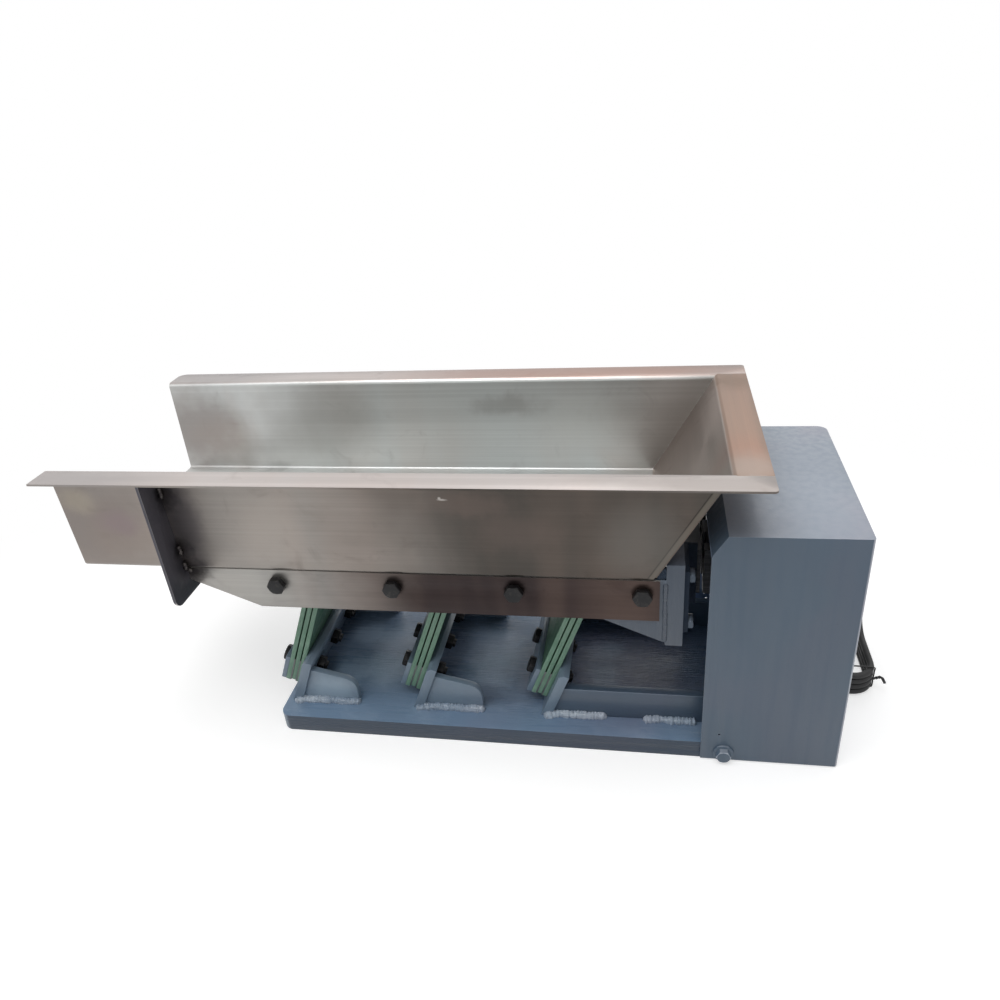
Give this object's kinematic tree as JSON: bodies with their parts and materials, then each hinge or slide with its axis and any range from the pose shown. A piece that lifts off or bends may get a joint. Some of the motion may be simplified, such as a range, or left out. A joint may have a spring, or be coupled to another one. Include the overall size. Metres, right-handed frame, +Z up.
{
  "type": "linear vibratory feeder",
  "caption": "Electromagnetic linear vibratory feeder: an open stainless trough on inclined leaf-spring stacks over a heavy base plate, with a covered drive magnet and a coiled power cord",
  "frame": {"origin": "Centre of the base plate's underside.", "axes": "+X along the trough towards the drive (the open discharge end is at -X), +Y across to the side the cord leaves, +Z up."},
  "size_m": [0.8067, 0.363, 0.3214],
  "materials": {
    "grey_blue_paint": "semi-gloss enamel with brush marks",
    "pale_paint": "semi-gloss enamel",
    "painted_weld": "gloss enamel over lumpy weld",
    "stainless": "lengthwise brushed",
    "black_steel": "black oxide",
    "zinc_steel": "bright zinc",
    "plain_steel": "plain",
    "glass_fibre": "green glass-fibre laminate",
    "laminations": "stacked sheets",
    "coil_tape": "varnished tape",
    "black_plastic": "satin",
    "cord_rubber": "satin"
  },
  "bodies": {
    "base": {"base_plate": "grey_blue_paint", "lower_seats": "grey_blue_paint", "lower_gussets": "grey_blue_paint", "base_ribs": "grey_blue_paint", "base_welds": "painted_weld", "lower_clamp_plates": "grey_blue_paint", "lower_spacers": "plain_steel", "lower_clamp_bolts": "black_steel", "lower_clamp_nuts": "black_steel", "leaf_stack_front": "glass_fibre", "leaf_stack_middle": "glass_fibre", "leaf_stack_rear": "glass_fibre", "magnet_bracket": "grey_blue_paint", "magnet_gussets": "grey_blue_paint", "magnet_core": "laminations", "magnet_coil": "coil_tape", "magnet_angles": "grey_blue_paint", "magnet_bolts": "zinc_steel", "drive_cover": "grey_blue_paint", "cover_bolts": "grey_blue_paint", "cable_gland": "black_plastic", "cord_lead": "cord_rubber", "cord_hank": "cord_rubber", "cord_tie": "black_plastic", "cord_tail": "cord_rubber", "cord_plug": "black_plastic"},
    "trough": {"upper_seats": "grey_blue_paint", "upper_clamp_plates": "grey_blue_paint", "upper_spacers": "plain_steel", "upper_clamp_bolts": "black_steel", "upper_clamp_nuts": "black_steel", "frame_cheeks": "pale_paint", "armature_plate": "pale_paint", "armature_core": "laminations", "armature_angles": "grey_blue_paint", "armature_bolts": "zinc_steel", "trough_pan": "stainless", "trough_end_wall": "stainless", "front_stiffener": "stainless", "side_skirts": "stainless", "skirt_bolts": "black_steel"}
  },
  "joints": [
    {"name": "trough_vibration", "type": "slide", "parent": "base", "child": "trough", "axis": [-0.9304, 0, 0.3665], "range_m": [-0.001, 0.001], "stiffness_N_per_m": 600000, "deforming": ["leaf_stack_front", "leaf_stack_middle", "leaf_stack_rear"]}
  ]
}
